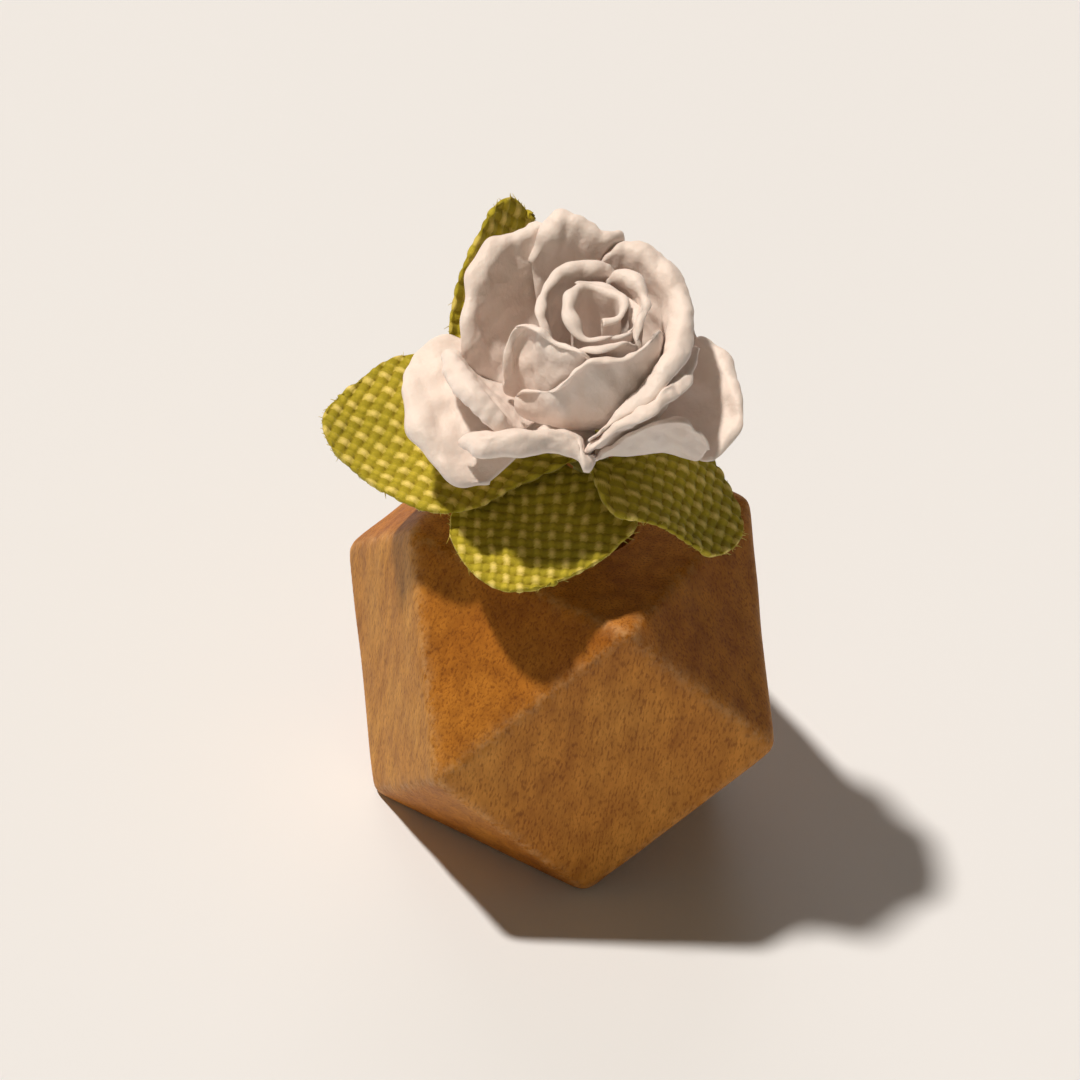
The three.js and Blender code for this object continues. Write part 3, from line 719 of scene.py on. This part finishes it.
def clear_of(grid, v, inside):
    """Moves a petal's grid out from the heart, clear of the layers inside it."""
    away = grid - HEART
    distance = np.linalg.norm(away, axis=-1)
    away = away / distance[..., None]
    moves = np.zeros(distance.shape)
    for j, i in np.ndindex(distance.shape):
        out = Vector(away[j, i])
        hit = inside.ray_cast(Vector(HEART) + out * REACH, -out)
        if hit[0] is not None:
            moves[j, i] = max(0.0, REACH - hit[3] + LAYER_GAP + PAPER / 2 - distance[j, i])
    # The roll moves out at least as far as the row that it starts from.
    wall_end = int((v < 1).sum(axis=0).max())
    moves[wall_end:] = np.maximum(moves[wall_end:], moves[wall_end])
    return grid + away * spread(moves, widen=2, passes=24)[..., None]


class Layers:
    """The paper laid so far, in the flower's own frame, for rays to find."""

    def __init__(self):
        self.points, self.faces, self.count = [], [], 0

    def add(self, grid):
        rows, columns = grid.shape[:2]
        self.points += grid.reshape(-1, 3).tolist()
        self.faces += grid_faces(rows, columns, start=self.count).tolist()
        self.count += rows * columns

    def tree(self):
        return BVHTree.FromPolygons(self.points, self.faces)


def petal(name, seed, layers, **facts):
    """A petal of crumpled paper, laid clear of the layers inside it."""
    grid, v = petal_points(**facts)
    crumple = sum(depth * waves(grid, length, seed + added) for depth, length, added in CRUMPLES)
    crumple = crumple * smoothstep(v, *CRUMPLED)
    grid = grid + normals_of(grid) * crumple[..., None]
    grid = clear_of(grid, v, layers.tree())
    layers.add(grid)
    place(plate("paper_" + name, to_world(grid), PAPER, WHITE_PAPER), "white_paper", name)


def bud(layers):
    """The strip of paper rolled up at the heart of the flower, its upper edge folded outwards."""
    columns, rows = BUD_GRID
    u, t = np.meshgrid(np.linspace(0, 1, columns + 1), np.linspace(0, 1, rows + 1))
    wall_share = 1 - BUD_FOLD_SHARE
    v = np.clip(t / wall_share, 0, 1)
    angle = radians(BUD_START) + u * radians(BUD_TURN)
    # The roll isn't quite round: it has three soft corners, most of all inside, and five weak ones.
    dents = 0.10 * np.cos(3 * angle + 0.9) * (1 - 0.6 * u) + 0.05 * np.sin(5 * angle)
    wall = (BUD_RADIUS + BUD_GROWTH * u) * (1 + dents)
    body = spline([(share,) for share in BUD_SHAPE], v)[..., 0]
    # The fold is widest inside and on the left, and the rim highest inside and at the back.
    fold = 0.16 + 0.45 * (0.5 + 0.5 * np.cos(angle - radians(165))) ** 2 * (1 - u)
    rim = 7.5 + 0.3 * np.cos(angle - radians(80)) - 0.8 * u + 0.15 * np.sin(2.3 * angle)
    turned = radians(BUD_FOLD_TURN) * np.clip((t - wall_share) / BUD_FOLD_SHARE, 0, 1)
    r = wall * body - fold * 0.5 + fold * (1 - np.cos(turned))
    h = BUD_FOOT + v * (rim - BUD_FOOT) + fold * np.sin(turned)
    grid = np.stack([r * np.cos(angle), r * np.sin(angle), h], -1)
    crumple = 0.15 * waves(grid, wavelength=1.9, seed=90) * smoothstep(v, 0.3, 1)
    grid = grid + normals_of(grid) * crumple[..., None]
    layers.add(grid)
    piece = plate("paper_rolled_bud", to_world(grid), PAPER, WHITE_PAPER)
    place(piece, "white_paper", "rolled_bud")


# The leaves
def leaf_points(u, v, at, foot, roll, tip, midrib, right, left):
    """Points of a leaf, and how far each lies to the left of the midrib and along it."""
    side = 2 * u - 1
    reach = v * (1 - tip * side**2)
    spine = spline(midrib, reach)
    tilt = np.radians(roll) * reach
    halves = (spline([(width,) for width in widths], v)[..., 0] for widths in (right, left))
    w = side * np.where(side < 0, *halves)
    kept = np.maximum(TAPE_CLEARANCE**2 - w**2, (CLEARANCE_LEAST * TAPE_CLEARANCE) ** 2)
    hug = TAPE_CLEARANCE - np.sqrt(kept)
    out = spine[..., 0] - hug * np.clip(1 - v / FOOT_SHARE, 0, 1)
    x, y, z = out, w * np.cos(tilt), foot + spine[..., 1] - w * np.sin(tilt)
    a = radians(at)
    return np.stack([x * cos(a) - y * sin(a), x * sin(a) + y * cos(a), z], -1), w, reach


def woven(x, y):
    """A plain weave over flat coordinates, its threads stiffened by a film between them.

    Gives how far its upper and lower face stand from the middle, and which thread is on top:
    1 for those along x, 0.5 for those along y and 0 for the film.
    """
    fx, fy = x / THREAD_PITCH[0], y / THREAD_PITCH[1]
    i, j = np.round(fx), np.round(fy)

    def section(offset, radius):
        return THREAD_RISE * np.sqrt(np.clip(1 - (offset / radius) ** 2, 0, 1))

    along_y = section((fx - i) * THREAD_PITCH[0], THREAD_RADIUS[0])
    along_x = section((fy - j) * THREAD_PITCH[1], THREAD_RADIUS[1])
    wave_x = THREAD_WAVE * np.cos(pi * fx) * np.where(j % 2 == 0, 1, -1)
    wave_y = -THREAD_WAVE * np.cos(pi * fy) * np.where(i % 2 == 0, 1, -1)

    def face(sign):
        x_height = np.where(along_x > 0, along_x + sign * wave_x, -1)
        y_height = np.where(along_y > 0, along_y + sign * wave_y, -1)
        height = np.maximum(np.maximum(x_height, y_height), WEB)
        return height, np.where(height <= WEB, 0, np.where(x_height > y_height, 1, 0.5))

    upper, on_top = face(1)
    lower, _ = face(-1)
    return upper, lower, on_top


def fibre(start, thread, length, curl, normal):
    """The points of a tapering thread end, in rings of three from its root to its tip."""
    side_way = np.cross(thread, normal)
    side_way /= np.linalg.norm(side_way)
    up_way = np.cross(side_way, thread)
    points = []
    for t in np.linspace(0, 1, FIBRE_RINGS):
        middle = start + thread * length * t + curl * t * t
        r = FIBRE_RADIUS * (1 - FIBRE_TAPER * t)
        corners = (0, 2 * pi / 3, 4 * pi / 3)
        points += [middle + r * (cos(q) * side_way + sin(q) * up_way) for q in corners]
    return points


def cut_edge(rows, columns):
    """The points along a leaf's sides, but for its foot, and along its tip.

    Each is a row, a column, and -1 on the first side, 1 on the second and 0 at the tip.
    """
    sides = ((0, -1), (columns - 1, 1))
    edge = [(row, column, side) for row in range(rows // 5, rows) for column, side in sides]
    return edge + [(rows - 1, column, 0) for column in range(1, columns - 1)]


def fringe(name, grid, along, across, random):
    """Loose thread ends round the cut edge of a cloth, as thin tapered fibres."""
    rows, columns = grid.shape[:2]
    normals = normals_of(grid)
    du, dv = np.gradient(grid, axis=1), np.gradient(grid, axis=0)
    du, dv = (d / np.linalg.norm(d, axis=-1, keepdims=True) for d in (du, dv))
    points, faces = [], []
    for j, i, side in cut_edge(rows, columns):
        if random.random() > FRINGE_SHARE:
            continue
        out = side * du[j, i] if side else dv[j, i]
        threads = [a * dv[j, i] + b * du[j, i] for a, b in (along, across)]
        thread = max((sign * t for t in threads for sign in (1, -1)), key=lambda t: t @ out)
        thread = thread / np.linalg.norm(thread) + FRINGE_STRAY * random.normal(size=3)
        thread /= np.linalg.norm(thread)
        length = FRINGE_LENGTH + FRINGE_LONGER * random.random() ** 2
        curl = FRINGE_CURL * length * random.normal(size=3)
        first = len(points)
        # A hundredth is added so that no thread lies exactly along the normal.
        points += fibre(grid[j, i] - FRINGE_ROOT * out, thread, length, curl, normals[j, i] + 0.01)
        end = len(points) - 3
        faces += grid_faces(FIBRE_RINGS, 3, closed=True, start=first).tolist()
        faces += [[first + 2, first + 1, first], [end, end + 1, end + 2]]
    values = {key: np.full(len(points), tone) for key, tone in FIBRE_TONE.items()}
    return place(add_mesh("fringe_" + name, points, faces, GREEN_FABRIC, values), "green_fabric")


def leaf(name, seed, weave, **facts):
    """A woven leaf with its fringe. Its threads run at the angle weave from its midrib."""
    random = np.random.default_rng(seed)
    midrib = spline(facts["midrib"], np.linspace(0, 1, 50))
    length = np.linalg.norm(np.diff(midrib, axis=0), axis=1).sum()
    wide = max(facts["left"]) + max(facts["right"])
    columns, rows = int(wide / LEAF_CELL), int(length / LEAF_CELL)
    u, v = np.meshgrid(np.linspace(0, 1, columns + 1), np.linspace(0, 1, rows + 1))
    grid, w, reach = leaf_points(u, v, **facts)
    depth, wavelength = LEAF_SWAY
    sway = depth * waves(grid, wavelength, seed) * smoothstep(v, *SWAYING)
    grid = grid + normals_of(grid) * sway[..., None]
    s, c = sin(radians(weave)), cos(radians(weave))
    depth, wavelength = THREAD_WANDER
    run = reach * length + depth * waves(grid, wavelength, seed + 5)
    beside = w + depth * waves(grid, wavelength, seed + 6)
    upper, lower, thread = woven(run * c + beside * s, beside * c - run * s)
    # relief is how high the cloth stands at each point, which its colour turns into painted shade
    # and painted highlight.
    values = {"thread": thread, "relief": np.clip(upper / (THREAD_RISE + THREAD_WAVE), 0, 1)}
    piece = plate("cloth_" + name, grid, 0.0, GREEN_FABRIC, (upper, lower), values, edge=1)
    place(piece, "green_fabric", name)
    fibres = fringe(name, grid, (c, s), (-s, c), random)


# Stem, tape and glue
def stem():
    """The stem from the hole's bottom into the flower, with the steps of the paper round it."""
    bottom, top = BLOCK - HOLE_DEPTH + GAP, FLOWER_BASE[2] + STEM_INTO_FLOWER
    rows, around = STEM_GRID
    h = np.linspace(bottom, top, rows)
    mouth = np.array([0, 0, BLOCK])
    way = [(0, 0, bottom), mouth, (mouth + FLOWER_BASE) / 2, (*FLOWER_BASE[:2], top)]
    path = spline(way, np.linspace(0, 1, rows))
    angle = np.arange(around) * 2 * pi / around
    turn = (angle / (2 * pi) + h[:, None] / WRAP_PITCH) % 1
    # The paper rises over most of a turn and drops where the next turn of it begins.
    rise = smoothstep(turn, 0, 0.85) * (1 - smoothstep(turn, 0.93, 1))
    r = STEM_RADIUS - WRAP_STEP + WRAP_STEP * rise
    ring = np.stack([r * np.cos(angle), r * np.sin(angle), np.zeros_like(r)], -1)
    points, faces = capped_tube(path[:, None, :] + ring, path[0], path[-1])
    place(add_mesh("wrapped_stem", points, faces, GREEN_TAPE), "green_tape", "stem_wire")


def ring_grid(profile, around):
    """The points of a profile of (radius, height), turned about +Z."""
    profile = np.asarray(profile, float)
    angle = np.arange(around) * 2 * pi / around
    return np.stack([profile[:, :1] * np.cos(angle), profile[:, :1] * np.sin(angle),
                     np.broadcast_to(profile[:, 1:], (len(profile), around))], -1)


def ring_mesh(name, grid, look):
    """A closed ring from the grid of a profile that ends where it began."""
    count, around = grid.shape[:2]
    quads = grid_faces(count, around, closed=True)
    first = np.arange(around)
    last = first + (count - 1) * around
    join = np.stack([last, np.roll(last, -1), np.roll(first, -1), first], -1)
    return add_mesh(name, grid.reshape(-1, 3), np.concatenate([quads, join]), look)


def tape():
    """The crepe tape below the flower, crinkled lengthwise on its outside."""
    radii, heights = np.transpose(TAPE_NECK)
    steps = np.linspace(heights[0], heights[-1], TAPE_ROWS)
    grid = ring_grid([(np.interp(h, heights, radii), h) for h in steps] + TAPE_RIM, TAPE_SIDES)
    loose = smoothstep(np.hypot(grid[..., 0], grid[..., 1]), *TAPE_LOOSE)
    lengthwise = waves(grid * [1, 1, 0.35], wavelength=0.9, seed=61)
    crinkle = 1 + TAPE_CRINKLE * loose * (lengthwise - 1)
    grid = grid * np.stack([crinkle, crinkle, np.ones_like(crinkle)], -1)
    piece = ring_mesh("crepe_tape", to_world(grid), GREEN_TAPE)
    place(piece, "green_tape", "tape_wrap")


def glue():
    """The glue round the stem, with rounded edges and a dished, lumpy top."""
    bottom = BLOCK - HOLE_DEPTH + GAP
    top = bottom + GLUE_DEPTH
    inside, outside = STEM_RADIUS + GAP, HOLE_RADIUS - GAP
    rows = [(inside, bottom), (inside + 0.8, bottom)]
    rows += [(outside - 0.2, bottom), (outside, bottom + 0.2)]
    rows += [(outside, h) for h in np.linspace(bottom + 0.8, top - 0.2, 8)]
    rows += [(outside - 0.25, top - 0.35), (2.0, top - 0.85), (1.4, top - 0.8)]
    rows += [(inside, top - 0.5), (inside, bottom + 2)]
    grid = ring_grid(rows, GLUE_SIDES)
    free = smoothstep(grid[..., 2], top - 1.2, top - 0.6)
    grid[..., 2] += 0.12 * free * waves(grid, wavelength=2.5, seed=77)
    place(ring_mesh("hot_glue", grid, GLUE), "glue", "glue_plug")


block()
paper = Layers()
bud(paper)
for index, (petal_name, petal_facts) in enumerate(PETALS.items()):
    petal(petal_name, index * PETAL_SEED_STEP + FIRST_PETAL_SEED, paper, **petal_facts)
for index, (leaf_name, leaf_facts) in enumerate(LEAVES.items()):
    leaf(leaf_name, index + FIRST_LEAF_SEED, **leaf_facts)
stem()
tape()
glue()


# Floor, light and camera
FLOOR_METRES = 6

# The camera of the photograph, fitted to the block's corners: its place, its azimuth, elevation
# and roll, its lens and the photograph's width in pixels, and its sensor's width.
CAMERA_PLACE = (-128.787, -328.305, 326.554)
CAMERA_ANGLES = (-21.09, 41.22, 8.81)
LENS_PIXELS = 8387.5
PHOTO_PIXELS = 1080
SENSOR_WIDTH = 36


def floor():
    """The plain pale floor."""
    made, *_, shader = material("pale_floor")
    shader.inputs["Base Color"].default_value = (0.82, 0.88, 0.95, 1)
    shader.inputs["Roughness"].default_value = 0.8
    bpy.ops.mesh.primitive_plane_add(size=FLOOR_METRES)
    plane = bpy.context.object
    plane.name = "floor"
    plane.data.materials.append(made)


def sun(name, towards, strength, colour, angle):
    """A soft lamp that shines from the direction towards."""
    lamp = bpy.data.lights.new(name, "SUN")
    lamp.energy = strength
    lamp.color = colour
    lamp.angle = radians(angle)
    made = bpy.data.objects.new(name, lamp)
    made.rotation_euler = Vector(towards).to_track_quat("Z", "Y").to_euler()
    bpy.context.scene.collection.objects.link(made)


def world():
    """The dim warm light from all around."""
    made = bpy.data.worlds.new("studio")
    made.use_nodes = True
    background = made.node_tree.nodes["Background"]
    background.inputs["Color"].default_value = (1.0, 0.78, 0.55, 1)
    background.inputs["Strength"].default_value = 0.09
    bpy.context.scene.world = made


def camera():
    """The camera at the photograph's place and angle."""
    data = bpy.data.cameras.new("camera")
    data.sensor_width = SENSOR_WIDTH
    data.lens = SENSOR_WIDTH * LENS_PIXELS / PHOTO_PIXELS
    made = bpy.data.objects.new("camera", data)
    azimuth, elevation, roll = CAMERA_ANGLES
    turn = Matrix.Identity(4)
    for angle, axis in ((azimuth, "Z"), (90 - elevation, "X"), (roll, "Z")):
        turn = turn @ Matrix.Rotation(radians(angle), 4, axis)
    made.matrix_world = Matrix.Translation(Vector(CAMERA_PLACE) * MM) @ turn
    bpy.context.scene.collection.objects.link(made)
    bpy.context.scene.camera = made


floor()
sun("key", towards=(-0.45, 0.3, 1), strength=3.2, colour=(1.0, 0.88, 0.76), angle=4)
sun("front", towards=(-0.5, -1, 0.15), strength=0.3, colour=(1.0, 0.86, 0.66), angle=40)
sun("back", towards=(0.1, 1, 0.6), strength=0.4, colour=(1.0, 0.84, 0.78), angle=40)
world()
camera()
bpy.context.scene.view_settings.view_transform = "Standard"
